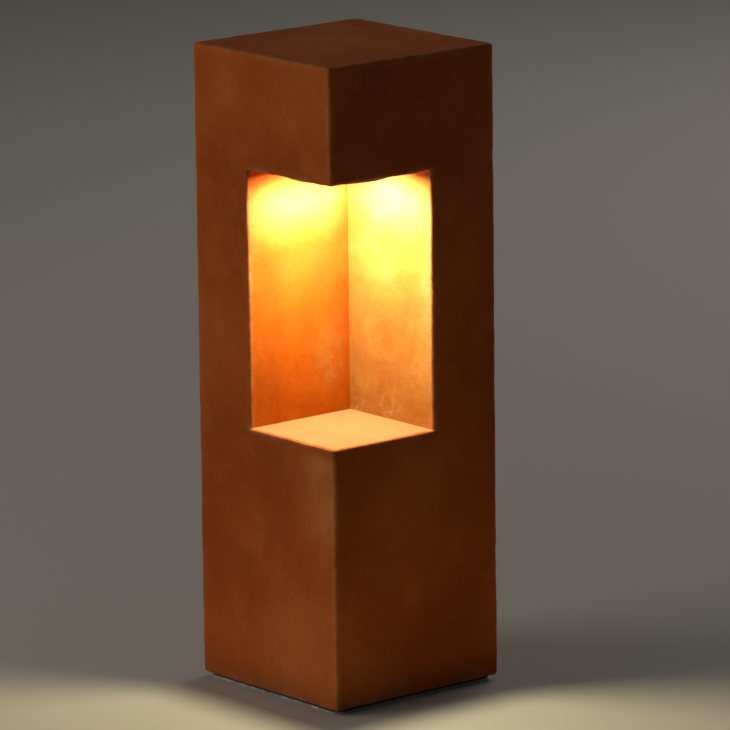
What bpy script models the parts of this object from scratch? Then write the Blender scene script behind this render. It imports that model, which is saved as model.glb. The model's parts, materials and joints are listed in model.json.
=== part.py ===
"""Stone lantern: a notched stone column with a downlight, lowered over a folded base plate.

Metres, +Z up. The origin is the centre of the footprint, on the ground.
The notch opens towards +X and -Y. The gear chamber is in the foot of the column.
"""
import math
from collections import namedtuple

import bmesh
import bpy
from mathutils import Matrix, Vector

# Column
WIDTH = 0.132
STONE_HEIGHT = 0.400
NOTCH_SIDE = 0.080
NOTCH_SILL = 0.165
NOTCH_HEIGHT = 0.162
NOTCH_EDGE_RADIUS = 0.002
SIDE_EDGE_RADIUS = 0.0035
BACK_EDGE_RADIUS = 0.008
ARRIS = 0.002
CHAMBER_WIDTH = 0.084
CHAMBER_DEPTH = 0.120

# Foot
PLATE_WIDTH = 0.126
PLATE_CORNER = 0.008
PLATE_THICKNESS = 0.0015
GASKET_THICKNESS = 0.0009
GASKET_OPENING = 0.086
TAB_REACH = 0.041
TAB_WIDTH = 0.022
TAB_HEIGHT = 0.024
ANCHOR_SPACING = 0.054
ANCHOR_RADIUS = 0.0035
CABLE_HOLE_RADIUS = 0.007

# Lamp
POCKET_RADIUS = 0.031
POCKET_DEPTH = 0.046
HOUSING_RADIUS = 0.0306
HOUSING_BORE = 0.022
HOUSING_HEIGHT = 0.0457
GLASS_RADIUS = 0.0242
GLASS_THICKNESS = 0.0034
BEZEL_RADIUS = 0.033
BEZEL_THICKNESS = 0.0022
BEZEL_SCREW_CIRCLE = 0.0275
LEAD_HEIGHT = 0.036
LEAD_START = 0.008

# Cable route
CONDUIT_OFFSET = 0.032
CONDUIT_RADIUS = 0.007
CONDUIT_BORE = 0.0055
CONDUIT_BEND = 0.028
CONDUIT_PROUD = 0.002
LEAD_RADIUS = 0.0022

# Gear in the chamber
SHEET = 0.0015
BRACKET_WIDTH = 0.068
BRACKET_DROP = 0.073
BRACKET_FLANGE = 0.020
DRIVER_SIZE = Vector((0.054, 0.022, 0.036))
DRIVER_BASE = 0.052
BOX_SIZE = Vector((0.054, 0.022, 0.046))
BOX_BASE = 0.050
BOX_WALL = 0.002
BOX_BOSS = 0.0032
LID_THICKNESS = 0.0025
LOCK_HEIGHT = 0.018

# Screws: the radii of the shank, of its clearance hole and of the head, and the head's height
Screw = namedtuple("Screw", "shank hole head height")
M2_5 = Screw(0.00125, 0.0016, 0.0022, 0.0016)
M3 = Screw(0.0015, 0.0018, 0.0028, 0.0018)
M3_LOW = Screw(0.0015, 0.0018, 0.0028, 0.0011)
M4 = Screw(0.002, 0.0023, 0.0038, 0.0022)

# Fineness of the arcs
CORNER_STEPS = 5
BEND_STEPS = 8

# Clearances
GAP = 0.0003
OVERCUT = 0.006

# Heights and places worked out from the dimensions above
HALF = WIDTH / 2
STONE_BOTTOM = PLATE_THICKNESS + GASKET_THICKNESS + 2 * GAP
STONE_TOP = STONE_BOTTOM + STONE_HEIGHT
SILL = STONE_BOTTOM + NOTCH_SILL
CEILING = SILL + NOTCH_HEIGHT
CHAMBER_TOP = STONE_BOTTOM + CHAMBER_DEPTH
LAMP = Vector((HALF - NOTCH_SIDE / 2, -HALF + NOTCH_SIDE / 2, CEILING))
BACKWARDS = Vector((-1.0, 1.0, 0.0)).normalized()
UP = Vector((0.0, 0.0, 1.0))
CONDUIT_RUN = (Vector((-CONDUIT_OFFSET, CONDUIT_OFFSET)) - LAMP.xy).length
WEB_FACE = SHEET / 2 + GAP
BOX_FRONT = -WEB_FACE - BOX_SIZE.y
BOX_FLOOR = -WEB_FACE - BOX_WALL - GAP
DRIVER_TOP = DRIVER_BASE + DRIVER_SIZE.z

# Turning angles: the local +Z axis points down, to -Y, to +Y or to -X
FACE_DOWN = (math.pi, 0.0, 0.0)
FACE_FRONT = (math.pi / 2, 0.0, 0.0)
FACE_BACK = (-math.pi / 2, 0.0, 0.0)
FACE_LEFT = (0.0, -math.pi / 2, 0.0)


# ---------------------------------------------------------------- scene

def clear_scene():
    for obj in list(bpy.data.objects):
        bpy.data.objects.remove(obj, do_unlink=True)


def new_collection(name):
    group = bpy.data.collections.new(name)
    bpy.context.scene.collection.children.link(group)
    return group


def new_empty(name, location=(0.0, 0.0, 0.0), parent=None):
    empty = bpy.data.objects.new(name, None)
    empty.empty_display_size = 0.02
    PARTS.objects.link(empty)
    empty.location = location
    empty.parent = parent
    return empty


def look(name, colour, roughness, metallic=0.0, transmission=0.0, glow=0.0):
    mat = bpy.data.materials.new(name)
    mat.use_nodes = True
    shader = mat.node_tree.nodes["Principled BSDF"]
    shader.inputs["Base Color"].default_value = (*colour, 1.0)
    shader.inputs["Roughness"].default_value = roughness
    shader.inputs["Metallic"].default_value = metallic
    shader.inputs["Transmission Weight"].default_value = transmission
    shader.inputs["Emission Color"].default_value = (1.0, 0.72, 0.38, 1.0)
    shader.inputs["Emission Strength"].default_value = glow
    mat.diffuse_color = (*colour, 1.0)
    return mat


# ---------------------------------------------------------------- shapes

def add_object(name, data, mat, parent, location, rotation, group=None):
    obj = bpy.data.objects.new(name, data)
    (group or PARTS).objects.link(obj)
    if mat:
        data.materials.append(mat)
    obj.parent = parent
    obj.location = location
    obj.rotation_euler = rotation
    return obj


def from_bmesh(name, bm, mat=None, parent=None, location=(0, 0, 0), rotation=(0, 0, 0), group=None):
    mesh = bpy.data.meshes.new(name)
    bm.to_mesh(mesh)
    bm.free()
    return add_object(name, mesh, mat, parent, location, rotation, group)


def block(size):
    bm = bmesh.new()
    bmesh.ops.create_cube(bm, size=1.0, matrix=Matrix.Diagonal((*size, 1.0)))
    return bm


def add_rod(bm, radius, length, matrix, sides):
    bmesh.ops.create_cone(bm, cap_ends=True, segments=sides, radius1=radius, radius2=radius,
                          depth=length, matrix=matrix)


def rods(radius, length, places=(Vector(),), sides=16):
    """Parallel rods along local Z, centred on the places, in one mesh."""
    bm = bmesh.new()
    for place in places:
        add_rod(bm, radius, length, Matrix.Translation(place), sides)
    return bm


def smooth(obj):
    obj.data.shade_smooth()
    obj.data.set_sharp_from_angle(angle=math.radians(35))


def disc(name, radius, thickness, mat, parent, base, sides):
    """A flat disc about local Z, standing on its base height."""
    obj = from_bmesh(name, rods(radius, thickness, sides=sides), mat, parent, UP * (base + thickness / 2))
    smooth(obj)
    return obj


def turned(name, profile, mat, parent, location, rotation=(0, 0, 0), steps=32, ring=True):
    """A profile of (radius, height), down the outer side, turned about local Z."""
    mesh = bpy.data.meshes.new(name)
    count = len(profile)
    edges = [(i, i + 1) for i in range(count - 1)]
    if ring:
        edges.append((count - 1, 0))
    mesh.from_pydata([(r, 0.0, z) for r, z in profile], edges, [])
    obj = add_object(name, mesh, mat, parent, location, rotation)
    turn = obj.modifiers.new("turn", "SCREW")
    turn.steps = steps
    turn.render_steps = steps
    turn.use_merge_vertices = True
    turn.merge_threshold = 0.00001
    return obj


def rounded_square(side, radii, arc_steps):
    """Outline of a square, with a radius for each corner, from (+X, +Y) round to (+X, -Y)."""
    points = []
    for quarter, radius in enumerate(radii):
        turn = Matrix.Rotation(quarter * math.pi / 2, 2)
        centre = Vector((side / 2 - radius, side / 2 - radius))
        for step in range(arc_steps + 1):
            angle = step / arc_steps * math.pi / 2
            points.append(turn @ (centre + radius * Vector((math.cos(angle), math.sin(angle)))))
    return points


def outline_curve(name, outlines, thickness):
    """A flat outline, with any further outlines as its openings, given its thickness."""
    curve = bpy.data.curves.new(name, "CURVE")
    curve.dimensions = "2D"
    curve.fill_mode = "BOTH"
    curve.extrude = thickness / 2
    for outline in outlines:
        spline = curve.splines.new("POLY")
        spline.points.add(len(outline) - 1)
        for point, place in zip(spline.points, outline):
            point.co = (place[0], place[1], 0.0, 1.0)
        spline.use_cyclic_u = True
    return curve


def path_curve(name, path, radius, resolution=2):
    curve = bpy.data.curves.new(name, "CURVE")
    curve.dimensions = "3D"
    curve.bevel_depth = radius
    curve.bevel_resolution = resolution
    curve.use_fill_caps = True
    spline = curve.splines.new("POLY")
    spline.points.add(len(path) - 1)
    for point, place in zip(spline.points, path):
        point.co = (*place, 1.0)
    return curve


def curve_to_mesh(name, curve, mat, parent, location=(0, 0, 0), rotation=(0, 0, 0), group=None):
    """The curve's evaluated shape as a mesh with its caps welded."""
    source = bpy.data.objects.new(name + "_curve", curve)
    bpy.context.scene.collection.objects.link(source)
    evaluated = source.evaluated_get(bpy.context.evaluated_depsgraph_get())
    mesh = bpy.data.meshes.new_from_object(evaluated)
    bpy.data.objects.remove(source)
    mesh.name = name
    mesh.materials.clear()
    bm = bmesh.new()
    bm.from_mesh(mesh)
    bmesh.ops.remove_doubles(bm, verts=bm.verts, dist=0.000005)
    bm.to_mesh(mesh)
    bm.free()
    return add_object(name, mesh, mat, parent, location, rotation, group)


def smooth_path(places, step):
    """Points on a Catmull-Rom curve through the places, about one step apart."""
    knots = [2 * places[0] - places[1], *places, 2 * places[-1] - places[-2]]
    path = [places[0]]
    for a, b, c, d in zip(knots, knots[1:], knots[2:], knots[3:]):
        count = max(1, round((c - b).length / step))
        for i in range(1, count + 1):
            t = i / count
            path.append(0.5 * (2 * b + (c - a) * t + (2 * a - 5 * b + 4 * c - d) * t ** 2
                               + (3 * b - a - 3 * c + d) * t ** 3))
    return path


# ---------------------------------------------------------------- cutting and joining

def as_tool(obj):
    obj.hide_render = True
    obj.display_type = "WIRE"
    return obj


def tool(name, bm, parent=None, location=(0, 0, 0), rotation=(0, 0, 0)):
    return as_tool(from_bmesh(name, bm, None, parent, location, rotation, TOOLS))


def combine(obj, other, operation="DIFFERENCE"):
    boolean = obj.modifiers.new(other.name, "BOOLEAN")
    boolean.operation = operation
    boolean.object = other


def bevel(obj, width, segments=2, angle=60):
    edge = obj.modifiers.new("bevel", "BEVEL")
    edge.width = width
    edge.segments = segments
    edge.limit_method = "ANGLE"
    edge.angle_limit = math.radians(angle)


# ---------------------------------------------------------------- fasteners and rings

def cap_screw(name, size, length, parent, location, rotation, mat):
    """A socket screw: the origin is under the head, and the head is on the local +Z side."""
    profile = [(0.0, size.height), (size.head, size.height), (size.head, 0.0), (size.shank, 0.0),
               (size.shank, -length), (0.0, -length)]
    screw = turned(name, profile, mat, parent, location, rotation, steps=14, ring=False)
    socket = rods(size.head * 0.5, size.height * 1.2, [UP * size.height], 6)
    combine(screw, tool(name + "_socket", socket, screw))
    return screw


def grub_screw(name, shank, length, parent, location, rotation, mat):
    """A headless screw from local z = 0 down to -length, with its socket at the top."""
    profile = [(0.0, 0.0), (shank * 0.8, 0.0), (shank, -shank * 0.2), (shank, -length + shank * 0.3),
               (shank * 0.7, -length), (0.0, -length)]
    screw = turned(name, profile, mat, parent, location, rotation, steps=16, ring=False)
    combine(screw, tool(name + "_socket", rods(shank * 0.55, shank * 2, sides=6), screw))
    return screw


def sleeve(name, outer, bore, length, parent, location, rotation, mat, steps=20):
    """A plain ring from local z = 0 up to its length."""
    profile = [(outer, length), (outer, 0.0), (bore, 0.0), (bore, length)]
    return turned(name, profile, mat, parent, location, rotation, steps)


def row(*offsets):
    """Places along local X."""
    return [Vector((x, 0.0, 0.0)) for x in offsets]


# ---------------------------------------------------------------- column

def conduit_path(start, end):
    """From a distance behind the lamp's axis, over a bend, straight down to a height."""
    axis = LAMP.xy.to_3d()
    level = CEILING + LEAD_HEIGHT
    centre = axis + BACKWARDS * (CONDUIT_RUN - CONDUIT_BEND) + UP * (level - CONDUIT_BEND)
    path = [axis + BACKWARDS * start + UP * level]
    for step in range(BEND_STEPS + 1):
        angle = step / BEND_STEPS * math.pi / 2
        path.append(centre + CONDUIT_BEND * (BACKWARDS * math.sin(angle) + UP * math.cos(angle)))
    path.append(path[-1].xy.to_3d() + UP * end)
    return path


def conduit_tube(name, start, end, radius, mat, parent, group=None):
    curve = path_curve(name, conduit_path(start, end), radius, 3)
    return curve_to_mesh(name, curve, mat, parent, group=group)


def make_stone_column(mat, parent):
    # Corner radii from (+X, +Y) round: side, back, side, and the notched edge.
    radii = (SIDE_EDGE_RADIUS, BACK_EDGE_RADIUS, SIDE_EDGE_RADIUS, NOTCH_EDGE_RADIUS)
    outline = outline_curve("stone_outline", [rounded_square(WIDTH, radii, CORNER_STEPS)], STONE_HEIGHT)
    centre = UP * (STONE_BOTTOM + STONE_HEIGHT / 2)
    column = curve_to_mesh("stone_column", outline, mat, parent, centre)
    bevel(column, ARRIS)

    notch_size = Vector((NOTCH_SIDE + OVERCUT, NOTCH_SIDE + OVERCUT, NOTCH_HEIGHT))
    notch_place = LAMP + Vector((OVERCUT / 2, -OVERCUT / 2, -NOTCH_HEIGHT / 2))
    combine(column, tool("notch_space", block(notch_size), parent, notch_place))

    pocket = rods(POCKET_RADIUS, POCKET_DEPTH + OVERCUT, sides=48)
    pocket_place = LAMP + UP * (POCKET_DEPTH - OVERCUT) / 2
    combine(column, tool("lamp_pocket", pocket, parent, pocket_place))

    chamber_size = Vector((CHAMBER_WIDTH, CHAMBER_WIDTH, CHAMBER_DEPTH + OVERCUT))
    chamber_place = UP * (CHAMBER_TOP - chamber_size.z / 2)
    combine(column, tool("gear_chamber", block(chamber_size), parent, chamber_place))

    bore = conduit_tube("conduit_space", POCKET_RADIUS - OVERCUT, CHAMBER_TOP - OVERCUT, CONDUIT_RADIUS + GAP,
                        None, parent, TOOLS)
    combine(column, as_tool(bore))
    return column


def make_conduit(mat, parent):
    conduit = conduit_tube("cable_conduit", POCKET_RADIUS + GAP, CHAMBER_TOP - CONDUIT_PROUD, CONDUIT_RADIUS,
                           mat, parent)
    smooth(conduit)
    inside = conduit_tube("conduit_inside", POCKET_RADIUS - OVERCUT, CHAMBER_TOP - OVERCUT, CONDUIT_BORE,
                          None, parent, TOOLS)
    combine(conduit, as_tool(inside))


def make_locking(column, brass, steel, parent):
    """A threaded sleeve and a grub screw in each of the two back sides, against the plate's tabs."""
    sleeve_radius = 0.005
    screw_radius = 0.003
    inner_end = CHAMBER_WIDTH / 2 + GAP
    sleeve_end = HALF - 0.005
    screw_end = sleeve_end - 0.002
    hole_length = HALF - CHAMBER_WIDTH / 2 + 2 * OVERCUT
    hole_middle = (HALF + CHAMBER_WIDTH / 2) / 2
    level = UP * LOCK_HEIGHT
    sides = ((Vector((-1, 0, 0)), FACE_LEFT), (Vector((0, 1, 0)), FACE_BACK))
    for number, (side, rotation) in enumerate(sides, 1):
        hole = rods(sleeve_radius + GAP, hole_length, sides=20)
        combine(column, tool(f"locking_hole_{number}", hole, parent, side * hole_middle + level, rotation))
        sleeve(f"threaded_sleeve_{number}", sleeve_radius, screw_radius + GAP, sleeve_end - inner_end, parent,
               side * inner_end + level, rotation, brass)
        grub_screw(f"locking_screw_{number}", screw_radius, screw_end - TAB_REACH - GAP, parent,
                   side * screw_end + level, rotation, steel)


# ---------------------------------------------------------------- lamp, placed from the notch's ceiling

def bezel_places(height=0.0):
    """The three bezel screws' places about the lamp's axis."""
    places = []
    for number in range(3):
        angle = math.radians(45 + 120 * number)
        radial = Vector((math.cos(angle), math.sin(angle), 0.0))
        places.append(radial * BEZEL_SCREW_CIRCLE + UP * height)
    return places


def make_housing(mat, lamp):
    """A turned cup, mouth down, with a recess for the glass, three screw holes and the lead's exit."""
    shoulder = 0.0055
    top = 0.0027
    thread_depth = 0.007
    exit_radius = 0.0045
    recess = GLASS_RADIUS + GAP
    profile = [(0.0, HOUSING_HEIGHT), (HOUSING_RADIUS, HOUSING_HEIGHT), (HOUSING_RADIUS, 0.0), (recess, 0.0),
               (recess, shoulder), (HOUSING_BORE, shoulder), (HOUSING_BORE, HOUSING_HEIGHT - top),
               (0.0, HOUSING_HEIGHT - top)]
    housing = turned("lamp_housing", profile, mat, lamp, (0, 0, 0), steps=48, ring=False)
    combine(housing, tool("bezel_threads", rods(M3.hole, 2 * thread_depth, bezel_places(), 12), lamp))
    exit_place = BACKWARDS * HOUSING_RADIUS + UP * LEAD_HEIGHT
    exit_turn = BACKWARDS.to_track_quat("Z", "Y").to_euler()
    combine(housing, tool("lead_exit", rods(exit_radius, 4 * OVERCUT), lamp, exit_place, exit_turn))


def make_light_engine(metal, board, emitter, white, steel, lamp):
    """The carrier, the board on its underside, the emitter, the reflector and the board's screws."""
    carrier_base = 0.022
    carrier_thickness = 0.006
    board_radius = 0.0175
    board_thickness = 0.0016
    board_base = carrier_base - GAP - board_thickness
    screw_offset = 0.014
    carrier = disc("led_carrier", HOUSING_BORE - GAP, carrier_thickness, metal, lamp, carrier_base, 40)
    lead_hole = rods(LEAD_RADIUS + 2 * GAP, 3 * carrier_thickness)
    lead_place = UP * (carrier_base + carrier_thickness / 2) - BACKWARDS * LEAD_START
    combine(carrier, tool("lead_hole", lead_hole, lamp, lead_place))

    plate = disc("led_board", board_radius, board_thickness, board, lamp, board_base, 36)
    side = Vector((1.0, 1.0, 0.0)).normalized() * screw_offset
    holes = tool("board_screw_holes", rods(M2_5.hole, 0.009, [side, -side], 12), lamp, UP * 0.0225)
    combine(carrier, holes)
    combine(plate, holes)
    for number, place in enumerate((side, -side), 1):
        seat = place + UP * (board_base - GAP)
        cap_screw(f"board_screw_{number}", M2_5, 0.0055, lamp, seat, FACE_DOWN, steel)

    emitter_radius = 0.007
    emitter_thickness = 0.0012
    top = board_base - GAP
    disc("led_emitter", emitter_radius, emitter_thickness, emitter, lamp, top - emitter_thickness, 28)
    cone_bottom = 0.0058
    cone_wall = 0.001
    throat = 0.0082
    mouth = 0.0206
    outside = [(throat + cone_wall, top), (mouth + cone_wall, cone_bottom)]
    inside = [(mouth, cone_bottom), (throat, top)]
    profile = outside + inside
    turned("reflector", profile, white, lamp, (0, 0, 0), steps=36)


def make_glass_and_bezel(glass, rubber, steel, lamp):
    gasket_bore = 0.0223
    gasket_thickness = 0.0015
    sleeve("lens_gasket", GLASS_RADIUS, gasket_bore, gasket_thickness, lamp, UP * (GLASS_THICKNESS + GAP),
           (0, 0, 0), rubber, 36)
    bevel(disc("diffuser_glass", GLASS_RADIUS, GLASS_THICKNESS, glass, lamp, 0.0, 48), 0.0004, 1)

    top = -GAP
    bottom = top - BEZEL_THICKNESS
    chamfer = 0.0008
    bore = 0.0225
    profile = [(BEZEL_RADIUS, top), (BEZEL_RADIUS, bottom + chamfer), (BEZEL_RADIUS - chamfer, bottom),
               (bore + chamfer, bottom), (bore, bottom + chamfer), (bore, top)]
    ring = turned("bezel_ring", profile, steel, lamp, (0, 0, 0), steps=48)
    seat_depth = 0.0014
    seat_radius = M3.head + GAP
    combine(ring, tool("bezel_holes", rods(M3.hole, 2 * OVERCUT, bezel_places(), 14), lamp))
    head_seats = rods(seat_radius, 2 * seat_depth, bezel_places(bottom), 18)
    combine(ring, tool("bezel_head_seats", head_seats, lamp))
    bearing = bottom + seat_depth - GAP
    for number, place in enumerate(bezel_places(bearing), 1):
        cap_screw(f"bezel_screw_{number}", M3_LOW, 0.0078, lamp, place, FACE_DOWN, steel)


def make_lead_grommet(rubber, lamp):
    """The flange is inside the housing, and the neck runs out through its wall."""
    bore = LEAD_RADIUS + GAP
    neck = 0.0042
    flange = 0.006
    flange_start = 0.019
    neck_start = 0.0209
    neck_end = POCKET_RADIUS + 0.0001
    profile = [(neck, neck_end), (neck, neck_start), (flange, neck_start), (flange, flange_start),
               (bore, flange_start), (bore, neck_end)]
    turn = BACKWARDS.to_track_quat("Z", "Y").to_euler()
    turned("lamp_grommet", profile, rubber, lamp, UP * LEAD_HEIGHT, turn, steps=18)


def make_lamp_lead(mat, parent):
    """From the board, through the conduit, to the top of the driver."""
    start = LAMP - BACKWARDS * LEAD_START
    level = CEILING + LEAD_HEIGHT
    foot = Vector((-CONDUIT_OFFSET, CONDUIT_OFFSET, 0.0))
    driver_entry = Vector((-0.014, 0.012, DRIVER_TOP + GAP))
    places = [start + UP * height for height in (0.0221, 0.027, 0.031)]
    places.append(start + BACKWARDS * 0.0025 + UP * 0.0345)
    places += [start + BACKWARDS * run + UP * LEAD_HEIGHT for run in (0.007, 0.013)]
    places += conduit_path(POCKET_RADIUS - 0.002, level - 2 * CONDUIT_BEND)
    places += [foot + UP * height for height in (0.26, 0.20, 0.14, 0.118)]
    places += [Vector((-0.029, 0.028, 0.108)), Vector((-0.018, 0.016, 0.099))]
    places += [driver_entry + UP * 0.005, driver_entry]
    curve = path_curve("lamp_lead", smooth_path(places, 0.0065), LEAD_RADIUS)
    smooth(curve_to_mesh("lamp_lead", curve, mat, parent))


# ---------------------------------------------------------------- gear in the chamber

def make_gear_bracket(column, steel, brass, parent):
    """An angle of sheet steel: its flange is screwed to the chamber's ceiling, its web hangs down."""
    top = CHAMBER_TOP - GAP
    half = SHEET / 2
    outline = [(half, -BRACKET_DROP), (half, 0.0), (-BRACKET_FLANGE, 0.0), (-BRACKET_FLANGE, -SHEET),
               (-half, -SHEET), (-half, -BRACKET_DROP)]
    turn = (math.pi / 2, 0.0, math.pi / 2)
    curve = outline_curve("gear_bracket", [outline], BRACKET_WIDTH)
    bracket = curve_to_mesh("gear_bracket", curve, steel, parent, UP * top, turn)

    socket_radius = 0.004
    socket_length = 0.0137
    screw_length = 0.013
    places = [Vector((x, -0.011, 0.0)) for x in (-0.020, 0.020)]
    combine(bracket, tool("flange_holes", rods(M4.hole, 2 * OVERCUT, places), parent, UP * CHAMBER_TOP))
    socket_holes = rods(socket_radius + GAP, 2 * (socket_length + 0.0013), places, 20)
    combine(column, tool("ceiling_sockets", socket_holes, parent, UP * CHAMBER_TOP))
    for number, place in enumerate(places, 1):
        sleeve(f"ceiling_socket_{number}", socket_radius, M4.hole, socket_length, parent,
               place + UP * (CHAMBER_TOP + GAP), (0, 0, 0), brass, 16)
        seat = place + UP * (top - SHEET - GAP)
        cap_screw(f"bracket_screw_{number}", M4, screw_length, parent, seat, FACE_DOWN, steel)
    return bracket


def make_driver(bracket, casing, steel, parent):
    """The driver's case, with an ear on each side screwed to the web."""
    ear_size = Vector((0.066, 0.0025, 0.016))
    centre = Vector((0.0, WEB_FACE + DRIVER_SIZE.y / 2, DRIVER_BASE + DRIVER_SIZE.z / 2))
    driver = from_bmesh("led_driver", block(DRIVER_SIZE), casing, parent, centre)
    bevel(driver, 0.0012)
    ears_place = Vector((0.0, WEB_FACE + ear_size.y / 2, centre.z))
    combine(driver, tool("driver_ears", block(ear_size), parent, ears_place), "UNION")
    places = row(-0.030, 0.030)
    holes = tool("driver_holes", rods(M3.hole, 0.016, places, 12), parent, UP * centre.z, FACE_BACK)
    combine(driver, holes)
    combine(bracket, holes)
    for number, place in enumerate(places, 1):
        seat = place + Vector((0.0, WEB_FACE + ear_size.y + GAP, centre.z))
        cap_screw(f"driver_screw_{number}", M3, 0.004, parent, seat, FACE_BACK, steel)


def box_corners(depth):
    """The four boss places, at a depth along Y."""
    inset = BOX_BOSS + 0.001
    reach = Vector((BOX_SIZE.x / 2 - inset, 0.0, BOX_SIZE.z / 2 - inset))
    middle = Vector((0.0, depth, BOX_BASE + BOX_SIZE.z / 2))
    return [middle + Vector((reach.x * x, 0.0, reach.z * z)) for x in (-1, 1) for z in (-1, 1)]


def corner_rods(radius, length, depth, sides):
    """A rod along Y at each corner boss, centred on a depth."""
    bm = bmesh.new()
    for corner in box_corners(depth):
        add_rod(bm, radius, length, Matrix.Translation(corner) @ Matrix.Rotation(math.pi / 2, 4, "X"), sides)
    return bm


def make_junction_box(bracket, plastic, rubber, steel, parent):
    """An open box on the web, with a boss in each corner, a gasket and a lid."""
    middle = Vector((0.0, -WEB_FACE - BOX_SIZE.y / 2, BOX_BASE + BOX_SIZE.z / 2))
    box = from_bmesh("junction_box", block(BOX_SIZE), plastic, parent, middle)
    hollow = BOX_SIZE - 2 * Vector((BOX_WALL, 0.0, BOX_WALL))
    combine(box, tool("box_hollow", block(hollow), parent, middle - Vector((0.0, BOX_WALL, 0.0))))
    boss_depth = BOX_SIZE.y - BOX_WALL / 2
    bosses = corner_rods(BOX_BOSS, boss_depth, BOX_FRONT + boss_depth / 2, 16)
    combine(box, tool("box_bosses", bosses, parent), "UNION")
    lid_holes = tool("lid_holes", corner_rods(M2_5.hole, 0.026, BOX_FRONT, 12), parent)
    combine(box, lid_holes)

    # The gasket and the lid stand upright in front of the box.
    outer = [(x * BOX_SIZE.x / 2, z * BOX_SIZE.z / 2) for x, z in ((1, 1), (-1, 1), (-1, -1), (1, -1))]
    rim = 0.0078
    inner = [(x - math.copysign(rim, x), z - math.copysign(rim, z)) for x, z in outer]
    gasket_curve = outline_curve("lid_gasket", [outer, inner], GASKET_THICKNESS)
    gasket_y = BOX_FRONT - GAP - GASKET_THICKNESS / 2
    gasket_place = Vector((0.0, gasket_y, middle.z))
    gasket = curve_to_mesh("lid_gasket", gasket_curve, rubber, parent, gasket_place, FACE_FRONT)
    combine(gasket, lid_holes)
    lid_size = Vector((BOX_SIZE.x, LID_THICKNESS, BOX_SIZE.z))
    lid_y = gasket_y - GASKET_THICKNESS / 2 - GAP - LID_THICKNESS / 2
    lid = from_bmesh("junction_lid", block(lid_size), plastic, parent, Vector((0.0, lid_y, middle.z)))
    combine(lid, lid_holes)
    lid_face = lid_y - LID_THICKNESS / 2 - GAP
    for number, corner in enumerate(box_corners(lid_face), 1):
        cap_screw(f"lid_screw_{number}", M2_5, 0.013, parent, corner, FACE_FRONT, steel)

    places = row(-0.016, 0.016)
    level = UP * (BOX_BASE + 0.037)
    fixing_holes = tool("box_fixing_holes", rods(M3.hole, 0.010, places, 12), parent, level, FACE_FRONT)
    combine(box, fixing_holes)
    combine(bracket, fixing_holes)
    for number, place in enumerate(places, 1):
        seat = place + level + Vector((0.0, BOX_FLOOR, 0.0))
        cap_screw(f"box_screw_{number}", M3, 0.0036, parent, seat, FACE_FRONT, steel)
    return box


def make_terminal_block(plastic, parent):
    """A three-pole block on the box's back wall, with a screw well for each pole."""
    size = Vector((0.030, 0.014, 0.014))
    centre = Vector((0.0, BOX_FLOOR - size.y / 2, BOX_BASE + 0.019))
    terminals = from_bmesh("terminal_block", block(size), plastic, parent, centre)
    wells = rods(0.0018, 0.006, row(-0.010, 0.0, 0.010), 12)
    front = centre - Vector((0.0, size.y / 2, 0.0))
    combine(terminals, tool("terminal_screw_wells", wells, parent, front, FACE_FRONT))
    return centre.z - size.z / 2


def make_supply_gland(box, plastic, rubber, parent):
    """The inlet for the supply cable, under the box: body, seal and nut."""
    place = Vector((-0.012, -0.013, BOX_BASE))
    neck = 0.006
    bore = 0.004
    flange = -0.0033
    combine(box, tool("gland_hole", rods(neck + GAP, 0.010, sides=24), parent, place))
    body = [(neck, 0.006), (neck, -GAP), (0.0088, -GAP), (0.0088, flange), (0.0062, flange),
            (0.0062, -0.0092), (bore, -0.0092), (bore, 0.006)]
    turned("supply_gland_body", body, plastic, parent, place, steps=24)
    seal = [(0.0061, -0.0095), (0.0061, -0.0115), (0.003, -0.0115), (0.003, -0.0095)]
    turned("supply_gland_seal", seal, rubber, parent, place, steps=20)
    nut = [(0.0082, flange - GAP), (0.0082, -0.012), (0.0064, -0.0150), (0.0042, -0.0150), (0.0042, -0.0118),
           (0.0065, -0.0118), (0.0065, flange - GAP)]
    turned("supply_gland_nut", nut, plastic, parent, place, steps=24)


def make_link_lead(box, lead_mat, rubber, parent, terminal_bottom):
    """From the driver's underside, round under the web, up through a grommet to the terminals."""
    x = 0.010
    driver_y = 0.012
    box_y = -0.012
    bore = LEAD_RADIUS + GAP
    neck = 0.0042
    flange = 0.006
    flange_thickness = 0.002
    neck_top = 0.0035
    entry = Vector((x, box_y, BOX_BASE))
    combine(box, tool("link_hole", rods(neck + GAP, 0.010, sides=18), parent, entry))
    profile = [(flange, -GAP), (flange, -flange_thickness), (bore, -flange_thickness), (bore, neck_top),
               (neck, neck_top), (neck, -GAP)]
    turned("link_grommet", profile, rubber, parent, entry, steps=18)

    middle = Vector((x, 0.0, DRIVER_BASE - 0.008))
    radius = (driver_y - box_y) / 2
    places = [Vector((x, driver_y, DRIVER_BASE - drop)) for drop in (GAP, 0.004)]
    for step in range(BEND_STEPS + 1):
        angle = step / BEND_STEPS * math.pi
        places.append(middle + radius * Vector((0.0, math.cos(angle), -math.sin(angle))))
    places += [entry, entry + UP * 0.005, entry.xy.to_3d() + UP * (terminal_bottom - GAP)]
    curve = path_curve("link_lead", smooth_path(places, 0.004), LEAD_RADIUS)
    smooth(curve_to_mesh("link_lead", curve, lead_mat, parent))


# ---------------------------------------------------------------- foot

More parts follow.
